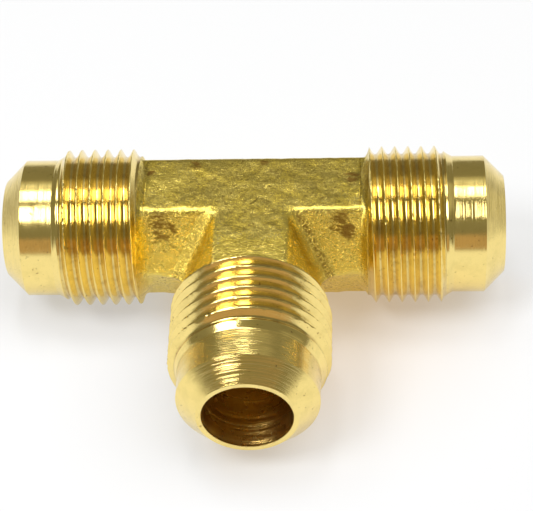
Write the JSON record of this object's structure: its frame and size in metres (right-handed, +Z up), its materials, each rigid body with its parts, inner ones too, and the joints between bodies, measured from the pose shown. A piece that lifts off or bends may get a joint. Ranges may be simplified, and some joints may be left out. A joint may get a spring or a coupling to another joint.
{
  "type": "flare union tee fitting",
  "caption": "Forged brass tee for flared tube: six-sided body with a male-threaded 45 degree flare end on each arm and a waterway through the run and up the branch.",
  "frame": {"origin": "where the axes of the run bore and the branch bore cross", "axes": "X along the run, -Y out along the branch, +Z up, square to the plane of the three arms"},
  "size_m": [0.0604, 0.0397, 0.019],
  "materials": {
    "forged_brass": "matt as-forged skin, lightly mottled",
    "machined_brass": "bright turned, fine tool marks"
  },
  "bodies": {
    "root": {"forged_body": "forged_brass", "left_flare_end": "machined_brass", "right_flare_end": "machined_brass", "branch_flare_end": "machined_brass"}
  },
  "joints": []
}
